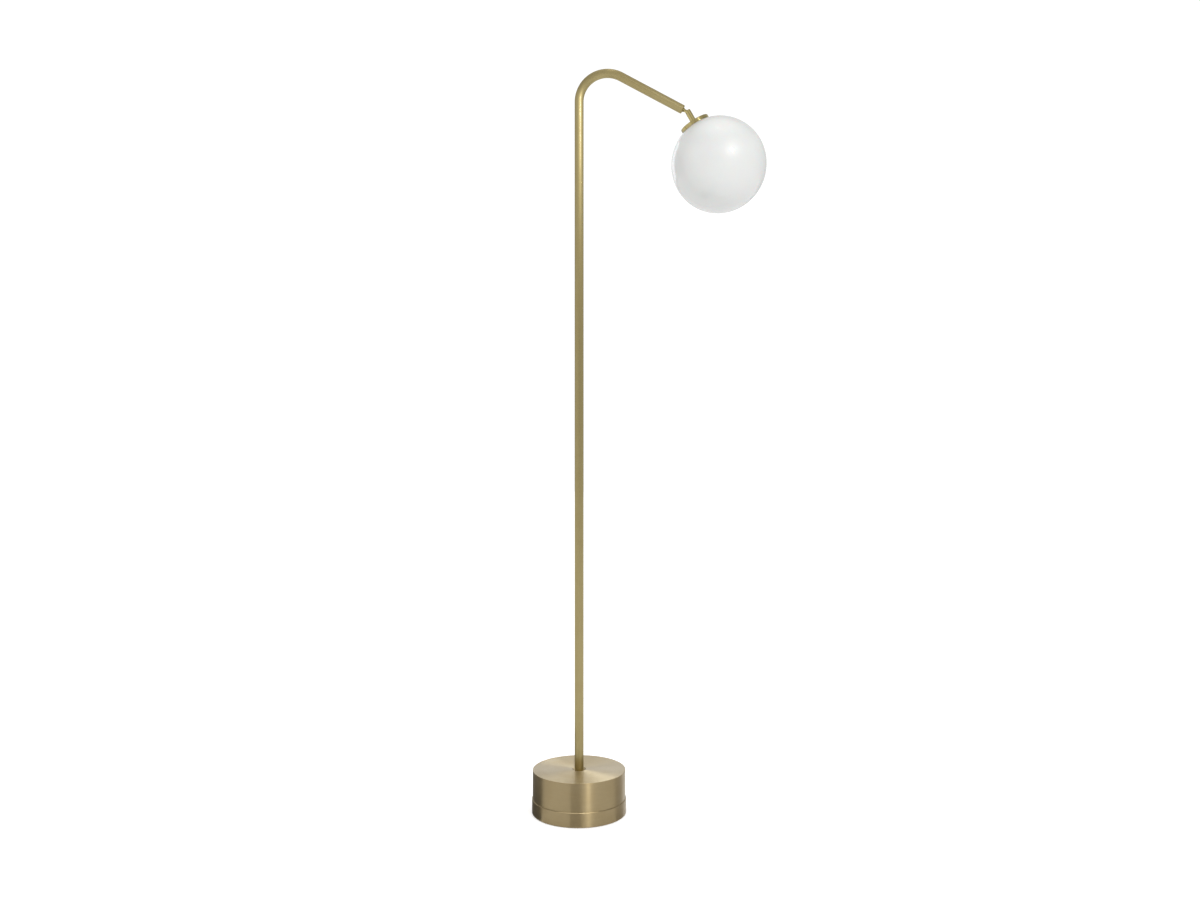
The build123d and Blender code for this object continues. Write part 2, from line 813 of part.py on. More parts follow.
pieces = {
    "foot_pad": foot_pad,
    "base_ring": base_ring,
    "ballast_disc": ballast_disc,
    "base_drum": base_drum,
    "drum_pillars": drum_pillars,
    "base_screws": base_screws,
    "post_tube": post_tube,
    "foot_plug": foot_plug,
    "post_washer": post_washer,
    "post_bolt": post_bolt,
    "cable_gland": cable_gland,
    "gland_nut": gland_nut,
    "terminal_block": terminal_block,
    "block_screw": block_screw,
    "earth_screw": earth_screw,
    "post_wire": post_wire,
    "head_wire": head_wire,
    "arm_plug": arm_plug,
    "stop_pin": stop_pin,
    "stop_washer": stop_washer,
    "swivel_springs": swivel_springs,
    "swivel_nut": swivel_nut,
    "swivel_collar": swivel_collar,
    "swivel_stud": swivel_stud,
    "ball_socket": ball_socket,
    "friction_cup": friction_cup,
    "friction_springs": friction_springs,
    "socket_nipple": socket_nipple,
    "gallery_cap": gallery_cap,
    "cap_nut": cap_nut,
    "cap_gasket": cap_gasket,
    "neck_ring": neck_ring,
    "opal_globe": opal_globe,
    "lampholder_shell": lampholder_shell,
    "lampholder_core": lampholder_core,
    "lampholder_contact": lampholder_contact,
    "screw_shell": screw_shell,
    "bulb_cap": bulb_cap,
    "bulb_envelope": bulb_envelope,
}

os.makedirs("parts", exist_ok=True)
for name, piece in pieces.items():
    piece.part.label = name
    export_step(piece.part, f"parts/{name}.step")
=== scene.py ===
"""Looks of a globe floor lamp: turned base, bent tube, slotted ball joint, cap and opal globe.

Every new piece is one surface on a grid: a profile of stations and radii, carried along a spine.
Metres throughout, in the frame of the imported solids: +Z up, +X along the arm, +Y to the back.
"""

import json
from math import cos, radians, sin

import bmesh
import bpy
import numpy as np
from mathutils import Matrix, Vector


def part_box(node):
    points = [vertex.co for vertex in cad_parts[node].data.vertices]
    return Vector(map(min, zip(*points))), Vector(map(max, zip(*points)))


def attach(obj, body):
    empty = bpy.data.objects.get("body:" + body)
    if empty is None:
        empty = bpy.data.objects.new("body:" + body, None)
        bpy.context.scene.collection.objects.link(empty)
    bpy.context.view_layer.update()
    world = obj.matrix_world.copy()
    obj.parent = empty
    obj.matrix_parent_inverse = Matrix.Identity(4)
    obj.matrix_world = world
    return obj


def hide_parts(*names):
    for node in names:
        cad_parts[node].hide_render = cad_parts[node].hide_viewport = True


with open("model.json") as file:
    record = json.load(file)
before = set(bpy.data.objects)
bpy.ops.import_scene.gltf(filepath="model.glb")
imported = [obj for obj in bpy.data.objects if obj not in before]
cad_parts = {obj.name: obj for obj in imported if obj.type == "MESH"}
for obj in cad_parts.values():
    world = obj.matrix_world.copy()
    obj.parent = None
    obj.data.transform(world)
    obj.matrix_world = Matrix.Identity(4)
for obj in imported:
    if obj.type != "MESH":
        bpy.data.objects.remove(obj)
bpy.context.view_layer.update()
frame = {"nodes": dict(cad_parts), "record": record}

bl_info = {
    "name": "Globe Floor Lamp",
    "version": (1, 0, 0),
    "blender": (4, 5, 0),
    "location": "View3D > Sidebar > Lamp",
    "description": "Makes the brass, opal glass and studio of a globe floor lamp around its solids",
    "category": "Object",
}

MM = 0.001
UV_NAME = "turn"

# sizes inside the solids, which their boxes don't tell
FOOT_WALL = 8 * MM
FOOT_LEDGE = 4 * MM
FOOT_CHAMFER = 1 * MM
DRUM_WALL = 2 * MM
DRUM_TOP = 5 * MM
RECESS_RADIUS = 15 * MM
RECESS_DEPTH = 4 * MM
SLIP_GAP = 0.3 * MM
GLAND_HOLE = 4.95 * MM
TUBE_WALL = 1.5 * MM
TUBE_CHAMFER = 0.5 * MM
BALL_REACH = 14.3 * MM
CAP_RADIUS = 32 * MM
CAP_BORE = 5.0 * MM
CAP_TOP = 24.26 * MM
CAP_UNDER = 26.26 * MM
NECK_ROOM = 29.05 * MM
NECK_RADIUS = 26 * MM
NECK_TOP = 27.26 * MM
GLASS_WALL = 3 * MM

# the camera's place, and the width and shift of its picture
EYE = (0.044, -2.232, 0.782)
FILM_WIDTH = 36
FILM_SHIFT = -0.0079

# ------------------------------------------------------------------ places read from the frame

motions = {joint["name"]: joint for joint in frame["record"]["behaviour"]["joints"]}
ball = np.array(motions["head_swivel"]["pos_m"], float)
arm_way = np.array(motions["head_swivel"]["axis"], float)

globe_low, globe_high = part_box("opal_globe")
globe_radius = (globe_high.y - globe_low.y) / 2
globe_centre = np.array([globe_high.x - globe_radius, 0, globe_low.z + globe_radius])
head_reach = float(np.linalg.norm(globe_centre - ball))
head_way = (globe_centre - ball) / head_reach

floor_axis = (np.zeros(3), np.array([0.0, 0.0, 1.0]))
arm_axis = (ball, arm_way)
head_axis = (ball, head_way)

ring_low, ring_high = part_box("base_ring")
drum_low, drum_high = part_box("base_drum")
tube_low, tube_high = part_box("post_tube")
gland_low, gland_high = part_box("cable_gland")
tube_radius = (tube_high.y - tube_low.y) / 2
bend_radius = 60 * MM
bend_start = tube_high.z - tube_radius - bend_radius


# ------------------------------------------------------------------ settings


class LampShapeSettings(bpy.types.PropertyGroup):
    """Sizes that only the looks need; the main sizes come from the solids"""

    edge: bpy.props.FloatProperty(
        name="Edge",
        description="Radius of the small rounding on turned edges",
        default=0.25 * MM,
        unit="LENGTH",
    )
    lead: bpy.props.FloatProperty(
        name="Edge lead",
        description="Length of the flat strip kept beside each rounding, so that flats shade flat",
        default=0.2 * MM,
        unit="LENGTH",
    )
    turns: bpy.props.IntProperty(
        name="Turns",
        description="Number of steps round a large turned piece",
        default=256,
        min=48,
    )
    small_turns: bpy.props.IntProperty(
        name="Small turns",
        description="Number of steps round a small turned piece or the tube",
        default=96,
        min=32,
    )
    cap_edge: bpy.props.FloatProperty(
        name="Cap edge",
        description="Radius of the rounding round the top of the globe's cap",
        default=0.9 * MM,
        unit="LENGTH",
    )
    flutes: bpy.props.IntProperty(
        name="Gland flutes",
        description="Number of finger flutes round the cable gland",
        default=18,
        min=6,
    )


class LampFinishSettings(bpy.types.PropertyGroup):
    """Colours and finishes"""

    base_brass: bpy.props.FloatVectorProperty(
        name="Base brass",
        description="Reflected colour of the brushed brass of the base",
        default=(0.345, 0.272, 0.152),
        subtype="COLOR",
    )
    tube_brass: bpy.props.FloatVectorProperty(
        name="Tube brass",
        description="Reflected colour of the satin brass of the tube",
        default=(0.395, 0.325, 0.15),
        subtype="COLOR",
    )
    joint_brass: bpy.props.FloatVectorProperty(
        name="Joint brass",
        description="Reflected colour of the polished brass of the joint and the cap",
        default=(0.455, 0.378, 0.165),
        subtype="COLOR",
    )
    opal: bpy.props.FloatVectorProperty(
        name="Opal glass",
        description="Body colour of the opal glass",
        default=(0.585, 0.59, 0.58),
        subtype="COLOR",
    )
    line_pitch: bpy.props.FloatProperty(
        name="Brush line pitch",
        description="Distance between the finest brush lines",
        default=0.3 * MM,
        unit="LENGTH",
    )


class LampStudioSettings(bpy.types.PropertyGroup):
    """Floor, light and camera"""

    floor: bpy.props.FloatVectorProperty(
        name="Floor",
        description="Colour of the pale floor",
        default=(0.93, 0.93, 0.93),
        subtype="COLOR",
    )
    room: bpy.props.FloatProperty(
        name="Room light",
        description="Strength of the white light all round",
        default=1.08,
    )
    mirrored: bpy.props.FloatProperty(
        name="Mirrored room",
        description="Level of the grey studio walls that the metal mirrors",
        default=0.72,
    )
    key_power: bpy.props.FloatProperty(
        name="Key light",
        description="Power of the soft light at the upper right",
        default=15.0,
        unit="POWER",
    )
    top_power: bpy.props.FloatProperty(
        name="Top light",
        description="Power of the small light overhead",
        default=1.0,
        unit="POWER",
    )
    lens: bpy.props.FloatProperty(
        name="Lens",
        description="Focal length of the camera in millimetres on a 36 mm sensor",
        default=31.76,
    )


def shape_and_finish(context):
    return context.scene.lamp_shape, context.scene.lamp_finish


# ------------------------------------------------------------------ surfaces


def rounded(corners, radius, lead, steps=6, closed=True):
    """Profile through the corners, each turned into an arc of its radius.
    An arc's point is its centre plus the mix of the two end spokes by the sines of the angles
    left and right of it. One more point lies a lead before and after each arc."""
    corners = np.asarray(corners, float)
    radius = np.broadcast_to(np.asarray(radius, float), len(corners))
    middle = slice(None) if closed else slice(1, -1)
    before = np.roll(corners, 1, axis=0)[middle]
    after = np.roll(corners, -1, axis=0)[middle]
    corner, size = corners[middle], radius[middle, None]
    arrive = (corner - before) / np.linalg.norm(corner - before, axis=1, keepdims=True)
    leave = (after - corner) / np.linalg.norm(after - corner, axis=1, keepdims=True)
    turn = np.arccos(np.clip((arrive * leave).sum(axis=1, keepdims=True), -1, 1))
    reach = size * np.tan(turn / 2)
    centre = corner + (leave - arrive) / (2 * np.sin(turn / 2)) * size / np.cos(turn / 2)
    first, last = corner - arrive * reach, corner + leave * reach
    share = np.linspace(0, 1, steps + 1)[None, :, None]
    angle = turn[:, None]
    mix = np.sin((1 - share) * angle) * (first - centre)[:, None]
    mix = mix + np.sin(share * angle) * (last - centre)[:, None]
    arcs = centre[:, None] + mix / np.sin(angle)
    lead_in, lead_out = first - arrive * lead, last + leave * lead
    rows = np.concatenate([lead_in[:, None], arcs, lead_out[:, None]], axis=1).reshape(-1, 2)
    if closed:
        return np.vstack([rows, rows[:1]])
    return np.vstack([corners[:1], rows, corners[-1:]])


def run_along(rows):
    """Length along a profile up to each of its points: the sum of the steps before it."""
    steps = np.linalg.norm(np.diff(rows, axis=0), axis=1)
    return np.concatenate([[0], np.cumsum(steps)])


def grid_faces(size):
    """Four-sided faces of a grid of this many rows and columns, each between its neighbours."""
    index = np.arange(size[0] * size[1]).reshape(size)
    corners = [index[:-1, :-1], index[:-1, 1:], index[1:, 1:], index[1:, :-1]]
    return np.stack(corners, axis=-1).reshape(-1, 4)


def straight(axis):
    """Spine along a straight line: the point at a station is the origin plus station times way."""
    origin, way = axis
    side = np.cross(way, [0.0, 1.0, 0.0]) if abs(way[1]) < 0.5 else np.array([1.0, 0.0, 0.0])
    side = side / np.linalg.norm(side)
    up = np.cross(way, side)

    def place(stations):
        points = origin + stations[:, None] * way
        return points, np.broadcast_to(side, points.shape), np.broadcast_to(up, points.shape)

    return place


def bent(foot, bend_at, radius, turn):
    """Spine of the tube: straight up from the foot, round an arc, and straight on.
    Along the arc, the turned angle is the length past its start over its radius."""

    def place(stations):
        past = stations - (bend_at - foot)
        angle = np.clip(past / radius, 0, turn)
        rise = np.clip(stations, None, bend_at - foot)
        on = np.clip(past - radius * turn, 0, None)
        x = radius * (1 - np.cos(angle)) + on * np.sin(angle)
        z = foot + rise + radius * np.sin(angle) + on * np.cos(angle)
        none = np.zeros_like(x)
        points = np.stack([x, none, z], axis=1)
        side = np.broadcast_to([0.0, 1.0, 0.0], points.shape)
        up = np.stack([np.cos(angle), none, -np.sin(angle)], axis=1)
        return points, side, up

    return place


def swept(name, place, rows, turns, flutes=None):
    """Closed surface on a grid of rows and turns.
    The point at row i and turn j is the spine's point at the row's station, plus the row's radius
    times cosine j of the spine's side plus sine j of its up. Flutes (count, depth per row) take
    half the depth times one minus the cosine of count times j off the radius.
    The UV map holds the share of a full turn, and the length along the profile in metres."""
    angle = np.linspace(0, 2 * np.pi, turns + 1)
    points, side, up = place(rows[:, 0])
    reach = np.repeat(rows[:, 1:2], turns + 1, axis=1)
    if flutes is not None:
        count, depth = flutes
        reach = reach - depth[:, None] * (1 - np.cos(count * angle))[None, :] / 2
    ring = np.cos(angle)[None, :, None] * side[:, None]
    ring = ring + np.sin(angle)[None, :, None] * up[:, None]
    grid = points[:, None] + reach[:, :, None] * ring

    faces = grid_faces(reach.shape)
    share, run = angle / (2 * np.pi), run_along(rows)
    uv = np.stack(np.broadcast_arrays(share[None, :], run[:, None]), axis=-1).reshape(-1, 2)

    mesh = bpy.data.meshes.new(name)
    mesh.from_pydata(grid.reshape(-1, 3), [], faces.tolist())
    mesh.uv_layers.new(name=UV_NAME).uv.foreach_set("vector", uv[faces.ravel()].ravel())
    close_seams(mesh)
    piece = bpy.data.objects.new(name, mesh)
    bpy.context.scene.collection.objects.link(piece)
    return piece


def close_seams(mesh):
    """Joins the first and last turn, closes the poles, and turns the faces outwards."""
    shell = bmesh.new()
    shell.from_mesh(mesh)
    bmesh.ops.remove_doubles(shell, verts=shell.verts, dist=0.001 * MM)
    if shell.calc_volume(signed=True) < 0:
        bmesh.ops.reverse_faces(shell, faces=shell.faces)
    shell.to_mesh(mesh)
    shell.free()
    mesh.shade_smooth()


def cut(piece, cutter):
    """Takes the closed cutter out of the piece and keeps the result as the piece's own mesh."""
    modifier = piece.modifiers.new("cut", "BOOLEAN")
    modifier.object = cutter
    modifier.solver = "EXACT"
    bpy.context.view_layer.update()
    evaluated = piece.evaluated_get(bpy.context.evaluated_depsgraph_get())
    result = bpy.data.meshes.new_from_object(evaluated)
    piece.modifiers.clear()
    piece.data = result
    result.shade_smooth()
    bpy.data.objects.remove(cutter)


def lit_group(name):
    """The collection of the pieces that have lights of their own, under this name."""
    name = f"lit_{name}"
    return bpy.data.collections.get(name) or bpy.data.collections.new(name)


def settle(piece, body, node, material):
    """Gives a piece its body and its material, and hides the solid that it stands for."""
    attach(piece, body)
    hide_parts(node)
    piece.data.materials.clear()
    piece.data.materials.append(material)


# ------------------------------------------------------------------ shader nodes


def add(tree, kind, inputs=None, **values):
    """Adds a node, sets its values, and links or sets its inputs."""
    made = tree.nodes.new(kind)
    for key, value in values.items():
        setattr(made, key, value)
    for key, value in (inputs or {}).items():
        if isinstance(value, bpy.types.NodeSocket):
            tree.links.new(value, made.inputs[key])
        else:
            made.inputs[key].default_value = value
    return made


def maths(tree, operation, *values):
    return add(tree, "ShaderNodeMath", dict(enumerate(values)), operation=operation).outputs[0]


def spread(tree, value, low, high, to_low=0.0, to_high=1.0):
    """Smooth step from to_low to to_high, as a value goes from low to high."""
    inputs = {"Value": value, "From Min": low, "From Max": high}
    inputs |= {"To Min": to_low, "To Max": to_high}
    return add(tree, "ShaderNodeMapRange", inputs, interpolation_type="SMOOTHSTEP").outputs[0]


def blend_colours(tree, share, first, second):
    inputs = {"Factor": share, "A": first, "B": second}
    return add(tree, "ShaderNodeMix", inputs, data_type="RGBA").outputs["Result"]


def new_group(name, inputs, outputs):
    """Starts a node group with these inputs (none is a vector's default) and number outputs."""
    group = bpy.data.node_groups.new(name, "ShaderNodeTree")
    for key, value in inputs.items():
        kind = "NodeSocketVector" if value is None else "NodeSocketFloat"
        socket = group.interface.new_socket(name=key, in_out="INPUT", socket_type=kind)
        if value is not None:
            socket.default_value = value
    for key in outputs:
        group.interface.new_socket(name=key, in_out="OUTPUT", socket_type="NodeSocketFloat")
    return group, group.nodes.new("NodeGroupInput"), group.nodes.new("NodeGroupOutput")


def brush_lines_group():
    """Lines that run round a turned piece: noise on the cosine and sine of the turn and on the
    length along the profile, so that it has no seam. Pitch is the distance between lines."""
    inputs = {"UV": None, "Round": 3.0, "Pitch": 0.3 * MM}
    group, entry, leave = new_group("Brush lines", inputs, ["Fine", "Broad"])
    parts = add(group, "ShaderNodeSeparateXYZ", {0: entry.outputs["UV"]})
    angle = maths(group, "MULTIPLY", parts.outputs["X"], 2 * np.pi)
    east = maths(group, "MULTIPLY", maths(group, "COSINE", angle), entry.outputs["Round"])
    north = maths(group, "MULTIPLY", maths(group, "SINE", angle), entry.outputs["Round"])
    along = maths(group, "DIVIDE", parts.outputs["Y"], entry.outputs["Pitch"])
    fine_place = add(group, "ShaderNodeCombineXYZ", {0: east, 1: north, 2: along}).outputs[0]
    inputs = {"Vector": fine_place, "Scale": 1.0, "Detail": 3.0, "Roughness": 0.6}
    fine = add(group, "ShaderNodeTexNoise", inputs)
    # broad lines are about seventeen times as wide as fine ones
    slow = maths(group, "MULTIPLY", along, 0.06)
    broad_place = add(group, "ShaderNodeCombineXYZ", {0: east, 1: north, 2: slow}).outputs[0]
    inputs = {"Vector": broad_place, "Scale": 1.0, "Detail": 2.0}
    broad = add(group, "ShaderNodeTexNoise", inputs)
    group.links.new(fine.outputs["Fac"], leave.inputs["Fine"])
    group.links.new(broad.outputs["Fac"], leave.inputs["Broad"])
    return group


def sized(group, entry):
    """The place handed to a group over its Size, so that a pattern's step is as long as Size."""
    place = add(group, "ShaderNodeVectorMath", {0: entry.outputs["Vector"]}, operation="SCALE")
    share = maths(group, "DIVIDE", 1.0, entry.outputs["Size"])
    group.links.new(share, place.inputs["Scale"])
    return place.outputs[0]


def handling_group():
    """Soft smudges left by hands and cloths, and fine dust: two noises of different size."""
    inputs = {"Vector": None, "Size": 0.03}
    group, entry, leave = new_group("Handling", inputs, ["Smudge", "Dust"])
    place = sized(group, entry)
    inputs = {"Vector": place, "Scale": 1.0, "Detail": 4.0, "Distortion": 0.6}
    cloud = add(group, "ShaderNodeTexNoise", inputs)
    grit = add(group, "ShaderNodeTexNoise", {"Vector": place, "Scale": 26.0, "Detail": 2.0})
    group.links.new(spread(group, cloud.outputs["Fac"], 0.42, 0.68), leave.inputs["Smudge"])
    group.links.new(spread(group, grit.outputs["Fac"], 0.58, 0.78), leave.inputs["Dust"])
    return group


def pebble_group():
    """Cast, moulded or fired skin: cells for its bumps, and noise for its tone."""
    inputs = {"Vector": None, "Size": 1 * MM}
    group, entry, leave = new_group("Pebble", inputs, ["Bump", "Tone"])
    place = sized(group, entry)
    inputs = {"Vector": place, "Scale": 1.0}
    cells = add(group, "ShaderNodeTexVoronoi", inputs, feature="SMOOTH_F1")
    tone = add(group, "ShaderNodeTexNoise", {"Vector": place, "Scale": 0.22, "Detail": 4.0})
    group.links.new(cells.outputs["Distance"], leave.inputs["Bump"])
    group.links.new(tone.outputs["Fac"], leave.inputs["Tone"])
    return group


def place_group(tree, name, maker, inputs):
    """Places the named group, made the first time that it is asked for."""
    group = bpy.data.node_groups.get(name) or maker()
    return add(tree, "ShaderNodeGroup", inputs, node_tree=group).outputs


def start_material(name, constants):
    """A material with a Principled shader, whose constants go straight onto its sockets."""
    material = bpy.data.materials.new(name)
    material.use_nodes = True
    tree = material.node_tree
    tree.nodes.clear()
    shader = add(tree, "ShaderNodeBsdfPrincipled", constants)
    output = tree.nodes.new("ShaderNodeOutputMaterial")
    tree.links.new(shader.outputs[0], output.inputs[0])
    return material, tree, shader


def opaque(colour, level=1.0):
    return (colour[0] * level, colour[1] * level, colour[2] * level, 1.0)


def dress(tree, shader, tone, roughness, bump):
    """Links what changes over a surface to its shader: tone, roughness and bump."""
    tree.links.new(tone, shader.inputs["Base Color"])
    tree.links.new(roughness, shader.inputs["Roughness"])
    tree.links.new(bump.outputs[0], shader.inputs["Normal"])


def brushed_brass(name, colour, rough, rotation, rounds, pitch, grain, lacquer):
    """Brass with brush lines under a thin lacquer. They run round the axis where rotation, the
    turn of the stretched shine, is a quarter and pitch is short, and along it where rotation is
    none and pitch is long. Rounds is how finely the lines divide the way round, and grain is how
    deep they are."""
    constants = {
        "Metallic": 1.0,
        "Anisotropic": 0.85,
        "Anisotropic Rotation": rotation,
        "Coat Weight": lacquer,
        "Coat Roughness": 0.12,
        "Coat IOR": 1.45,
    }
    material, tree, shader = start_material(name, constants)
    turn = add(tree, "ShaderNodeUVMap", uv_map=UV_NAME).outputs[0]
    spot = add(tree, "ShaderNodeTexCoord").outputs["Object"]
    inputs = {"UV": turn, "Round": rounds, "Pitch": pitch}
    lines = place_group(tree, "Brush lines", brush_lines_group, inputs)
    marks = place_group(tree, "Handling", handling_group, {"Vector": spot, "Size": 0.045})
    tone = blend_colours(tree, lines["Broad"], opaque(colour, 0.94), opaque(colour, 1.05))
    tarnish = opaque((colour[0] * 0.93, colour[1] * 0.88, colour[2] * 0.78))
    tone = blend_colours(tree, maths(tree, "MULTIPLY", marks["Smudge"], 0.25), tone, tarnish)
    fine = maths(tree, "MULTIPLY_ADD", lines["Fine"], grain, rough - grain / 2)
    worn = maths(tree, "MULTIPLY_ADD", marks["Smudge"], 0.03, fine)
    inputs = {"Height": lines["Fine"], "Strength": grain, "Distance": 0.02 * MM}
    dress(tree, shader, tone, worn, add(tree, "ShaderNodeBump", inputs))
    tangent = add(tree, "ShaderNodeTangent", direction_type="UV_MAP", uv_map=UV_NAME)
    tree.links.new(tangent.outputs[0], shader.inputs["Tangent"])
    return material


def polished_metal(name, colour, rough, coat=0.0, smudge_size=0.012):
    """Bright metal with faint smudges and hairlines. Colour drifts a little with the smudges."""
    constants = {"Metallic": 1.0, "Coat Weight": coat, "Coat Roughness": 0.06, "Coat IOR": 1.45}
    material, tree, shader = start_material(name, constants)
    spot = add(tree, "ShaderNodeTexCoord").outputs["Object"]
    marks = place_group(tree, "Handling", handling_group, {"Vector": spot, "Size": smudge_size})
    tone = blend_colours(tree, marks["Smudge"], opaque(colour, 1.04), opaque(colour, 0.9))
    worn = maths(tree, "MULTIPLY_ADD", marks["Smudge"], 0.08, rough)
    rub = maths(tree, "MULTIPLY_ADD", marks["Dust"], 0.05, worn)
    inputs = {"Height": marks["Dust"], "Strength": 0.05, "Distance": 0.02 * MM}
    dress(tree, shader, tone, rub, add(tree, "ShaderNodeBump", inputs))
    return material


def opal_glass(name, colour):
    """Cased opal glass: a milky body that drifts a little in tone, under a clear glossy skin."""
    constants = {
        "IOR": 1.9,
        "Coat Weight": 0.8,
        "Coat Roughness": 0.04,
        "Coat IOR": 1.5,
        "Subsurface Weight": 0.12,
        "Subsurface Scale": 0.01,
    }
    material, tree, shader = start_material(name, constants)
    spot = add(tree, "ShaderNodeTexCoord").outputs["Object"]
    marks = place_group(tree, "Handling", handling_group, {"Vector": spot, "Size": 0.16})
    tone = blend_colours(tree, marks["Smudge"], opaque(colour, 1.0), opaque(colour, 0.99))
    worn = maths(tree, "MULTIPLY_ADD", marks["Smudge"], 0.05, 0.44)
    swirl = add(tree, "ShaderNodeTexNoise", {"Vector": spot, "Scale": 9.0, "Detail": 1.0})
    inputs = {"Height": swirl.outputs["Fac"], "Strength": 0.08, "Distance": 0.5 * MM}
    dress(tree, shader, tone, worn, add(tree, "ShaderNodeBump", inputs))
    return material


def pebbled(name, colour, rough, size, depth, metallic=0.0, contrast=0.15):
    """Cast, moulded or fired material: small bumps, with a tone that drifts over the surface."""
    material, tree, shader = start_material(name, {"Metallic": metallic})
    spot = add(tree, "ShaderNodeTexCoord").outputs["Object"]
    skin = place_group(tree, "Pebble", pebble_group, {"Vector": spot, "Size": size})
    darker, lighter = opaque(colour, 1 - contrast), opaque(colour, 1 + contrast)
    tone = blend_colours(tree, skin["Tone"], darker, lighter)
    worn = maths(tree, "MULTIPLY_ADD", skin["Tone"], 0.16, rough - 0.08)
    inputs = {"Height": skin["Bump"], "Strength": 0.4, "Distance": depth}
    dress(tree, shader, tone, worn, add(tree, "ShaderNodeBump", inputs))
    return material


def floor_paper(name, colour):
    """Pale paper. It glows a little where the camera sees it, so that its shadows stay faint."""
    material = pebbled(name, colour, 0.9, 30 * MM, 0.01 * MM, contrast=0.006)
    tree = material.node_tree
    shader = tree.nodes["Principled BSDF"]
    seen = add(tree, "ShaderNodeLightPath").outputs["Is Camera Ray"]
    glow = blend_colours(tree, seen, (0, 0, 0, 1), (1, 1, 1, 1))
    tree.links.new(glow, shader.inputs["Emission Color"])
    shader.inputs["Emission Strength"].default_value = 0.3
    return material


def wanted(name, finish):
    """The named finish, made the first time that it is asked for."""
    if name in bpy.data.materials:
        return bpy.data.materials[name]
    round_base = {"rough": 0.36, "rotation": 0.25, "rounds": 3.0, "grain": 0.10, "lacquer": 0.10}
    along_tube = {"rough": 0.42, "rotation": 0.0, "rounds": 14.0, "grain": 0.04, "lacquer": 0.4}
    base, tube, joint = finish.base_brass, finish.tube_brass, finish.joint_brass
    steel, aluminium = (0.62, 0.62, 0.64), (0.80, 0.80, 0.82)
    # pebbled finishes: colour, roughness, size and depth of the pebbles, metal share, contrast
    pebbles = {
        "cast_iron": ((0.10, 0.10, 0.105), 0.55, 1.6 * MM, 0.3 * MM, 0.4, 0.15),
        "rubber": ((0.035, 0.035, 0.036), 0.8, 1.1 * MM, 0.15 * MM, 0.0, 0.15),
        "black_nylon": ((0.022, 0.022, 0.023), 0.5, 0.35 * MM, 0.04 * MM, 0.0, 0.15),
        "white_nylon": ((0.78, 0.78, 0.75), 0.45, 0.4 * MM, 0.03 * MM, 0.0, 0.04),
        "ceramic": ((0.82, 0.80, 0.75), 0.6, 0.5 * MM, 0.05 * MM, 0.0, 0.05),
        "silicone": ((0.62, 0.62, 0.61), 0.65, 0.7 * MM, 0.05 * MM, 0.0, 0.05),
        "frosted_bulb": ((0.84, 0.84, 0.80), 0.5, 0.3 * MM, 0.02 * MM, 0.0, 0.02),
    }
    if name in pebbles:
        return pebbled(name, *pebbles[name])
    makers = {
        "base_brass": lambda: brushed_brass(name, base, pitch=finish.line_pitch, **round_base),
        "tube_brass": lambda: brushed_brass(name, tube, pitch=120 * MM, **along_tube),
        "joint_brass": lambda: polished_metal(name, joint, 0.13, coat=0.2),
        "opal": lambda: opal_glass(name, finish.opal),
        "zinc_steel": lambda: polished_metal(name, steel, 0.3, smudge_size=0.006),
        "turned_aluminium": lambda: polished_metal(name, aluminium, 0.25, smudge_size=0.008),
    }
    return makers[name]()


# ------------------------------------------------------------------ operators


class LAMP_OT_base(bpy.types.Operator):
    """Make the turned ring and the drum of the base"""

    bl_idname = "lamp.make_base"
    bl_label = "Make base"

    def execute(self, context):
        shape, finish = shape_and_finish(context)
        foot, bottom = ring_high.x, ring_low.z
        seam, lip = drum_low.z, ring_high.z
        drum, top = drum_high.x, drum_high.z
        inside = drum - DRUM_WALL
        bore, ledge = foot - FOOT_WALL, foot - FOOT_LEDGE
        brass = wanted("base_brass", finish)

        ring = rounded(
            [
                (bottom, ledge),
                (bottom, foot),
                (seam - FOOT_CHAMFER, foot),
                (seam, foot - FOOT_CHAMFER),
                (seam, inside - SLIP_GAP),
                (lip, inside - SLIP_GAP),
                (lip, bore),
                (FOOT_WALL, bore),
                (FOOT_WALL, ledge),
            ],
            shape.edge * np.array([1, 2, 1.4, 1.4, 0.4, 1, 1, 1, 1]),
            shape.lead,
        )
        piece = swept("turned_ring", straight(floor_axis), ring, shape.turns)
        settle(piece, "stand", "base_ring", brass)
        lit_group("base").objects.link(piece)

        hole, ceiling = tube_radius + SLIP_GAP, top - DRUM_TOP
        drum_rows = rounded(
            [
                (seam, inside),
                (seam, drum),
                (top, drum),
                (top, RECESS_RADIUS),
                (top - RECESS_DEPTH, hole),
                (ceiling, hole),
                (ceiling, inside - DRUM_WALL),
                (ceiling - DRUM_WALL, inside),
            ],
            shape.edge * np.array([0.6, 0.6, 1.8, 1, 0.6, 0.6, 1, 1]),
            shape.lead,
        )
        piece = swept("drum", straight(floor_axis), drum_rows, shape.turns)
        gland = np.array([0, 0, (gland_low.z + gland_high.z) / 2])
        start, stop = drum - 10 * MM, drum + 10 * MM
        plug = [(start, 0), (start, GLAND_HOLE), (stop, GLAND_HOLE), (stop, 0)]
        plug = rounded(plug, 0.1 * MM, 0.1 * MM, closed=False)
        to_back = straight((gland, np.array([0.0, 1.0, 0.0])))
        cut(piece, swept("gland_cutter", to_back, plug, 48))
        settle(piece, "stand", "base_drum", brass)
        lit_group("base").objects.link(piece)
        return {"FINISHED"}


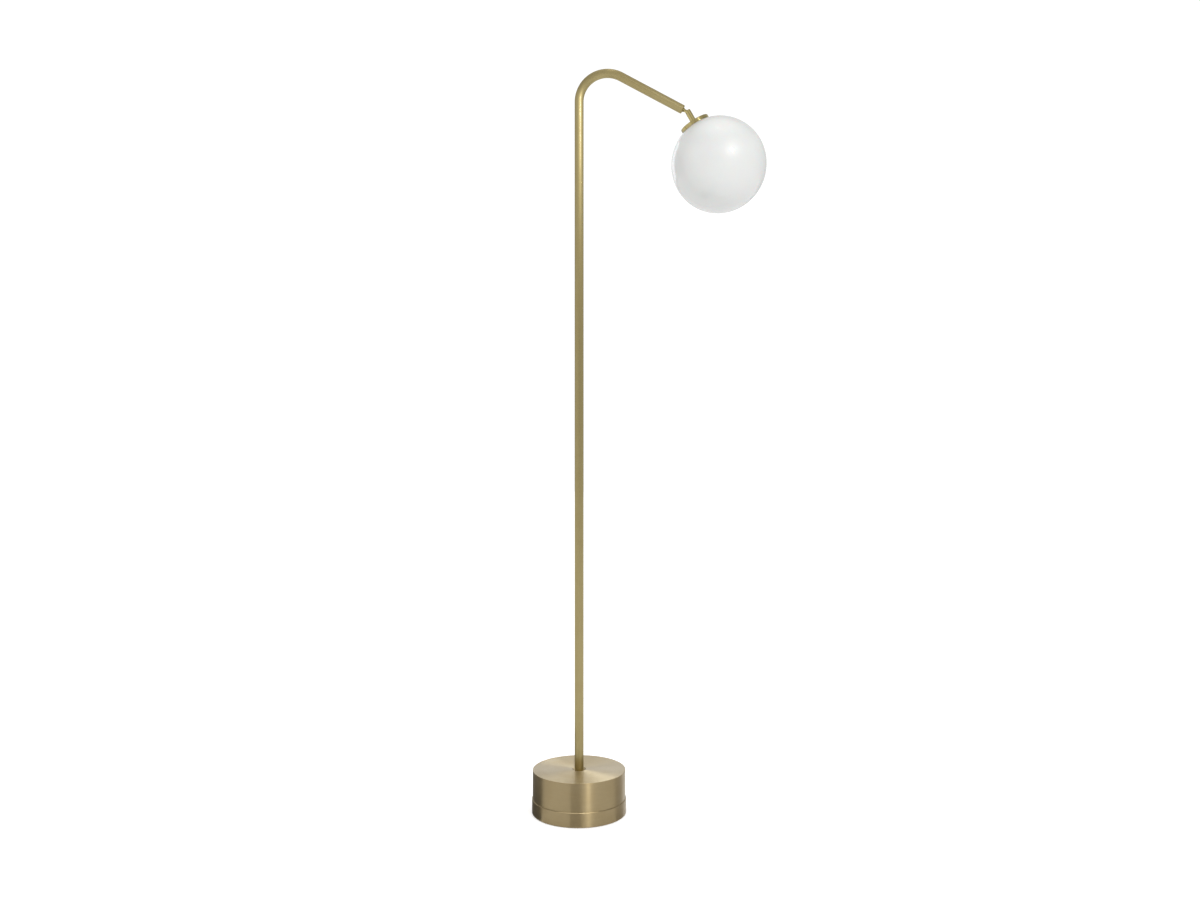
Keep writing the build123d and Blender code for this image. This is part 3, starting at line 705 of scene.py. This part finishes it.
class LAMP_OT_post(bpy.types.Operator):
    """Make the tube that is post and arm in one"""

    bl_idname = "lamp.make_post"
    bl_label = "Make post and arm"

    def execute(self, context):
        shape, finish = shape_and_finish(context)
        turn = np.arccos(arm_way[2])
        mouth = ball - arm_way * BALL_REACH
        foot = tube_low.z
        bend_end = bend_start - foot + bend_radius * turn
        x, z = bend_radius * (1 - np.cos(turn)), bend_start + bend_radius * np.sin(turn)
        length = bend_end + float(np.linalg.norm(mouth - np.array([x, 0, z])))
        bore = tube_radius - TUBE_WALL
        rows = rounded(
            [
                (0, bore),
                (0, tube_radius),
                (length - TUBE_CHAMFER, tube_radius),
                (length, tube_radius - TUBE_CHAMFER),
                (length, bore),
            ],
            shape.edge * np.array([0.6, 0.6, 1.4, 1.0, 0.6]),
            shape.lead,
        )
        # rows round the bend, on the outside and again on the inside
        run = run_along(rows)
        rise = int(np.argmax(np.diff(rows[:, 0])))
        fall = int(np.argmin(np.diff(rows[:, 0])))
        bend = np.linspace(bend_start - foot - 2 * MM, bend_end + 2 * MM, 73)
        outside = run[rise] + bend - rows[rise, 0]
        inner = run[fall] + rows[fall, 0] - bend
        runs = np.unique(np.concatenate([run, outside, inner]))
        stations, radii = np.interp(runs, run, rows[:, 0]), np.interp(runs, run, rows[:, 1])
        rows = np.stack([stations, radii], axis=1)
        spine = bent(foot, bend_start, bend_radius, turn)
        piece = swept("bent_tube", spine, rows, shape.small_turns)
        settle(piece, "stand", "post_tube", wanted("tube_brass", finish))
        lit_group("tube").objects.link(piece)
        return {"FINISHED"}


class LAMP_OT_joint(bpy.types.Operator):
    """Make the plug in the arm's end and the collar on the swivel's neck"""

    bl_idname = "lamp.make_joint"
    bl_label = "Make arm plug and collar"

    def execute(self, context):
        shape, finish = shape_and_finish(context)
        brass = wanted("joint_brass", finish)
        # stations along the arm from the ball, and radii, in millimetres
        corners = [(-34.3, 3.35), (-13.1, 3.35), (-13.1, 8.9), (-14.3, 8.9)]
        corners += [(-14.3, 7.95), (-34.3, 7.95)]
        edges = np.array([0.2, 0.2, 0.55, 0.1, 0.1, 0.3])
        plug = rounded(np.array(corners) * MM, edges * MM, 0.05 * MM)
        piece = swept("plug_of_arm", straight(arm_axis), plug, shape.small_turns)
        settle(piece, "stand", "arm_plug", brass)

        corners = [(-13.0, 3.3), (-13.0, 5.0), (-9.5, 3.36), (-9.5, 3.3)]
        edges = np.array([0.02, 0.3, 0.02, 0.01])
        collar = rounded(np.array(corners) * MM, edges * MM, 0.01 * MM)
        piece = swept("cone_collar", straight(arm_axis), collar, shape.small_turns)
        settle(piece, "swivel", "swivel_collar", brass)
        return {"FINISHED"}


class LAMP_OT_globe(bpy.types.Operator):
    """Make the opal globe and the cap that it hangs from"""

    bl_idname = "lamp.make_globe"
    bl_label = "Make globe and cap"

    def execute(self, context):
        shape, finish = shape_and_finish(context)
        # the cap's rim lies on a sphere that clears the glass
        rim_ball, rim_radii = globe_radius + SLIP_GAP, np.array([CAP_RADIUS, NECK_ROOM])
        rim, rim_inside = head_reach - np.sqrt(rim_ball**2 - rim_radii**2)
        edge, bore_edge = shape.edge, 0.1 * MM
        cap_rows = rounded(
            [
                (CAP_TOP, CAP_BORE),
                (CAP_TOP, CAP_RADIUS),
                (rim, CAP_RADIUS),
                (rim_inside, NECK_ROOM),
                (CAP_UNDER, NECK_ROOM),
                (CAP_UNDER, CAP_BORE),
            ],
            np.array([bore_edge, shape.cap_edge, edge, edge, edge, bore_edge]),
            shape.lead,
        )
        piece = swept("globe_cap", straight(head_axis), cap_rows, shape.turns)
        settle(piece, "head", "gallery_cap", wanted("joint_brass", finish))

        # outside from the foot of the globe up to its neck, and inside back down
        outer = np.linspace(0, np.pi - np.arcsin(NECK_RADIUS / globe_radius), 120)
        inner_radius, mouth = globe_radius - GLASS_WALL, NECK_RADIUS - GLASS_WALL
        inner = np.linspace(np.pi - np.arcsin(mouth / inner_radius), 0, 60)
        outside = head_reach + globe_radius * np.cos(outer), globe_radius * np.sin(outer)
        inside = head_reach + inner_radius * np.cos(inner), inner_radius * np.sin(inner)
        neck = [(NECK_TOP, NECK_RADIUS), (NECK_TOP, mouth)]
        rows = np.vstack([np.stack(outside, axis=1), neck, np.stack(inside, axis=1)])
        piece = swept("opal_shade", straight(head_axis), rows, shape.turns)
        settle(piece, "head", "opal_globe", wanted("opal", finish))
        lit_group("globe").objects.link(piece)
        return {"FINISHED"}


class LAMP_OT_gland(bpy.types.Operator):
    """Make the fluted cable gland at the back of the base"""

    bl_idname = "lamp.make_gland"
    bl_label = "Make cable gland"

    def execute(self, context):
        shape, finish = shape_and_finish(context)
        seat = np.array([0, drum_high.x, (gland_low.z + gland_high.z) / 2])
        # stations out from the drum's side, and radii, in millimetres
        corners = [(-9, 3.6), (7, 3.6), (7, 4.9), (3, 6.45), (3, 8), (0, 8), (0, 4.9), (-9, 4.9)]
        edges = np.array([0.2, 0.4, 0.5, 0.3, 0.5, 0.1, 0.1, 0.2])
        rows = rounded(np.array(corners) * MM, edges * MM, 0.1 * MM)
        # only the widest part is fluted
        depth = np.where(rows[:, 1] > 7.4 * MM, 0.5 * MM, 0.0)
        to_back = straight((seat, np.array([0.0, 1.0, 0.0])))
        flutes = (shape.flutes, depth)
        piece = swept("fluted_gland", to_back, rows, 8 * shape.flutes, flutes)
        settle(piece, "stand", "cable_gland", wanted("black_nylon", finish))
        return {"FINISHED"}


class LAMP_OT_solids(bpy.types.Operator):
    """Give every solid that stays its finish"""

    bl_idname = "lamp.finish_solids"
    bl_label = "Finish the solids"

    def execute(self, context):
        finishes = {
            "ballast": "cast_iron",
            "foot_pad": "rubber",
            "brushed_brass": "joint_brass",
            "polished_brass": "joint_brass",
            "steel": "zinc_steel",
            "neck_ring": "turned_aluminium",
            "black_plastic": "black_nylon",
            "white_plastic": "white_nylon",
            "ceramic": "ceramic",
            "gasket": "silicone",
            "wire": "silicone",
            "bulb": "frosted_bulb",
            "opal_glass": "opal",
        }
        slots = {part["node"]: part["material_slot"] for part in frame["record"]["subparts"]}
        for name, solid in frame["nodes"].items():
            material = wanted(finishes[slots[name]], context.scene.lamp_finish)
            for holder in solid.material_slots:
                holder.material = material
            if not solid.material_slots:
                solid.data.materials.append(material)
        return {"FINISHED"}


class LAMP_OT_studio(bpy.types.Operator):
    """Make the floor, the light and the camera"""

    bl_idname = "lamp.make_studio"
    bl_label = "Make studio"

    def execute(self, context):
        studio = context.scene.lamp_studio
        self.lay_floor(floor_paper("floor", studio.floor))
        self.light_room(context.scene, studio)
        globe, foot = Vector(globe_centre), Vector((0, 0, 0.06))
        rim = globe + Vector((0, 0, 0.55))
        white, cool = (1, 1, 1), (0.88, 0.93, 1.0)
        key, overhead = studio.key_power, studio.top_power
        # name, centre, azimuth, elevation, distance, size, power, what it lights, colour
        for lamp in (
            ("key_light", globe, 24.4, 20.0, 2.4, 0.32, key, None, white),
            ("globe_glow", globe, 2, 10, 2.2, 1.1, 7.0, "globe", white),
            ("top_light", globe, -13, 77.6, 1.8, 0.05, overhead, None, white),
            ("arm_light", Vector(ball), 8.4, 26.6, 2.2, 0.5, 2.0, "tube", white),
            ("base_strip", foot, 22, 8, 0.9, (0.04, 0.42), 0.85, "base", white),
            ("seam_glint", foot, 23, 66, 0.9, (0.05, 0.40), 0.7, "base", white),
            ("seam_light", foot, 0, 70, 0.9, (1.2, 0.45), 3.6, "base", white),
            ("fan_right", foot, 160, 42, 1.2, (0.40, 0.36), 2.8, "base", cool),
            ("fan_left", foot, -160, 42, 1.2, (0.40, 0.36), 1.2, "base", cool),
            ("back_light", foot, 180, 52, 1.2, (0.9, 0.30), 1.3, "base", cool),
            ("back_low", foot, 180, 12, 1.2, (0.50, 0.24), 0.5, "base", cool),
            ("rim_near", rim, -145, 0, 2.0, (0.56, 1.2), 3.0, "globe", cool),
            ("rim_far", rim, -164.5, 0, 2.0, (0.81, 1.2), 1.2, "globe", cool),
        ):
            self.hang_lamp(*lamp)
        # the glow is soft light alone, so the glass doesn't mirror its disc
        bpy.data.objects["globe_glow"].visible_glossy = False
        # name, first and last degree of the drum's side that mirrors it, tone
        for card in (
            ("left_card", -84, -51, 0.07),
            ("front_card", -10, 4, 0.52),
            ("right_card", 51, 68, 0.52),
        ):
            self.lay_card(*card)
        camera = bpy.data.objects.new("camera", bpy.data.cameras.new("camera"))
        context.scene.collection.objects.link(camera)
        camera.data.lens = studio.lens
        camera.data.sensor_width = FILM_WIDTH
        camera.data.shift_y = FILM_SHIFT
        camera.data.clip_start = 0.01
        camera.location = EYE
        camera.rotation_euler = (radians(90), 0, 0)
        context.scene.camera = camera
        context.scene.view_settings.view_transform = "Standard"
        return {"FINISHED"}

    def lay_floor(self, material):
        """A flat disc: the point at radius r and turn t lies at r cosine t, r sine t."""
        radii, turns = np.array([0.0, 0.4, 2.0, 14.0]), np.linspace(0, 2 * np.pi, 97)
        reach, turn = np.meshgrid(radii, turns, indexing="ij")
        x, y, z = reach * np.cos(turn), reach * np.sin(turn), np.full_like(reach, -0.05 * MM)
        self.lay("floor", np.stack([x, y, z], axis=-1), material)

    def lay_card(self, name, low, high, tone):
        """A card on the floor that only the base's mirror image shows. The point for a turn t of
        the drum's side and a length s lies where a level ray from the front, mirrored by the side
        at t, has gone on by s: the radius times (sine t, -cosine t) plus s (sine 2t, -cosine 2t)."""
        turns, runs = np.radians(np.linspace(low, high, 17)), np.linspace(0.004, 0.6, 7)
        turn, run = np.meshgrid(turns, runs, indexing="ij")
        radius = ring_high.x
        x = radius * np.sin(turn) + run * np.sin(2 * turn)
        y = -radius * np.cos(turn) - run * np.cos(2 * turn)
        material = pebbled(name, (tone, tone * 0.97, tone * 0.94), 0.9, 5 * MM, 0.1 * MM)
        grid = np.stack([x, y, np.full_like(x, 0.6 * MM)], axis=-1)
        card = self.lay(name, grid, material)
        card.visible_camera = card.visible_diffuse = False
        card.visible_transmission = card.visible_shadow = False

    def lay(self, name, grid, material):
        """A flat surface on a grid of points, which belongs to the studio."""
        faces = grid_faces(grid.shape[:2])[:, ::-1]
        mesh = bpy.data.meshes.new(name)
        mesh.from_pydata(grid.reshape(-1, 3), [], faces.tolist())
        close_seams(mesh)
        mesh.materials.append(material)
        sheet = bpy.data.objects.new(name, mesh)
        bpy.context.scene.collection.objects.link(sheet)
        return sheet

    def hang_lamp(self, name, centre, azimuth, elevation, distance, size, power, group, colour):
        """A soft light turned towards the centre: a disc, or a rectangle where size is a pair.
        Azimuth is 0 at the front and grows to the right. A group's name limits what it lights."""
        azimuth, elevation = radians(azimuth), radians(elevation)
        level = cos(elevation)
        way = Vector((level * sin(azimuth), -level * cos(azimuth), sin(elevation)))
        light = bpy.data.lights.new(name, "AREA")
        if isinstance(size, tuple):
            light.shape = "RECTANGLE"
            light.size, light.size_y = size
        else:
            light.shape = "DISK"
            light.size = size
        light.energy = power
        light.color = colour
        lamp = bpy.data.objects.new(name, light)
        lamp.location = centre + way * distance
        lamp.rotation_euler = way.to_track_quat("Z", "Y").to_euler()
        lamp.visible_camera = False
        bpy.context.scene.collection.objects.link(lamp)
        if group:
            lamp.light_linking.receiver_collection = lit_group(group)

    def light_room(self, scene, studio):
        """White all round for the eye and for matt things. Metal and glass mirror a grey room with
        soft patches, each a smooth band of azimuth (0 at the front, growing to the right) and of
        elevation."""
        world = bpy.data.worlds.new("studio")
        scene.world = world
        world.use_nodes = True
        world.cycles.sampling_method = "NONE"
        tree = world.node_tree
        tree.nodes.clear()
        way = add(tree, "ShaderNodeTexCoord").outputs["Generated"]
        parts = add(tree, "ShaderNodeSeparateXYZ", {0: way})
        front = maths(tree, "MULTIPLY", parts.outputs["Y"], -1.0)
        azimuth = maths(tree, "DEGREES", maths(tree, "ARCTAN2", parts.outputs["X"], front))
        height = maths(tree, "DEGREES", maths(tree, "ARCSINE", parts.outputs["Z"]))

        def band(value, low, high, soft):
            rise = spread(tree, value, low - soft, low + soft)
            fall = spread(tree, value, high - soft, high + soft, 1.0, 0.0)
            return maths(tree, "MULTIPLY", rise, fall)

        def patch(low, high, soft, bottom, top, blur, strength):
            across, upright = band(azimuth, low, high, soft), band(height, bottom, top, blur)
            return maths(tree, "MULTIPLY", maths(tree, "MULTIPLY", across, upright), strength)

        # azimuths and their softness, elevations and theirs, and the share taken off the walls
        level = studio.mirrored
        for dark in (
            (-12, 40, 8, -95, 12, 6, 0.22),
            (105, 166, 5, -95, 26, 5, 0.18),
            (-166, -105, 5, -95, 26, 5, 0.22),
            (-200, 200, 1, 36, 62, 10, 0.3),
        ):
            level = maths(tree, "MULTIPLY", level, maths(tree, "SUBTRACT", 1.0, patch(*dark)))
        # the same, and the light put onto the walls
        for bright in (
            (-84, -48, 9, -95, 30, 8, 0.28),
            (-200, 200, 1, 62, 95, 8, 0.25),
        ):
            level = maths(tree, "ADD", level, patch(*bright))
        inputs = {"Color": (1.0, 0.99, 0.97, 1.0), "Strength": level}
        mirrored = add(tree, "ShaderNodeBackground", inputs).outputs[0]
        inputs = {"Color": (1, 1, 1, 1), "Strength": studio.room}
        white = add(tree, "ShaderNodeBackground", inputs).outputs[0]
        glossy = add(tree, "ShaderNodeLightPath").outputs["Is Glossy Ray"]
        mixed = add(tree, "ShaderNodeMixShader", {0: glossy, 1: white, 2: mirrored})
        output = tree.nodes.new("ShaderNodeOutputWorld")
        tree.links.new(mixed.outputs[0], output.inputs[0])


MAKERS = (
    LAMP_OT_studio,
    LAMP_OT_base,
    LAMP_OT_post,
    LAMP_OT_joint,
    LAMP_OT_globe,
    LAMP_OT_gland,
    LAMP_OT_solids,
)


class LAMP_PT_panel(bpy.types.Panel):
    """Lists the pieces and the settings"""

    bl_idname = "LAMP_PT_panel"
    bl_label = "Globe floor lamp"
    bl_space_type = "VIEW_3D"
    bl_region_type = "UI"
    bl_category = "Lamp"

    def draw(self, context):
        for maker in MAKERS:
            self.layout.operator(maker.bl_idname)
        scene = context.scene
        for group in (scene.lamp_shape, scene.lamp_finish, scene.lamp_studio):
            box = self.layout.box()
            for key in group.bl_rna.properties.keys():
                if key not in {"rna_type", "name"}:
                    box.prop(group, key)


GROUPS = (LampShapeSettings, LampFinishSettings, LampStudioSettings)


def register():
    for cls in (*GROUPS, *MAKERS, LAMP_PT_panel):
        bpy.utils.register_class(cls)
    bpy.types.Scene.lamp_shape = bpy.props.PointerProperty(type=LampShapeSettings)
    bpy.types.Scene.lamp_finish = bpy.props.PointerProperty(type=LampFinishSettings)
    bpy.types.Scene.lamp_studio = bpy.props.PointerProperty(type=LampStudioSettings)


def unregister():
    del bpy.types.Scene.lamp_studio
    del bpy.types.Scene.lamp_finish
    del bpy.types.Scene.lamp_shape
    for cls in reversed((*GROUPS, *MAKERS, LAMP_PT_panel)):
        bpy.utils.unregister_class(cls)


def main():
    register()
    bpy.ops.lamp.make_studio()
    bpy.ops.lamp.make_base()
    bpy.ops.lamp.make_post()
    bpy.ops.lamp.make_joint()
    bpy.ops.lamp.make_globe()
    bpy.ops.lamp.make_gland()
    bpy.ops.lamp.finish_solids()


if __name__ == "__main__":
    main()
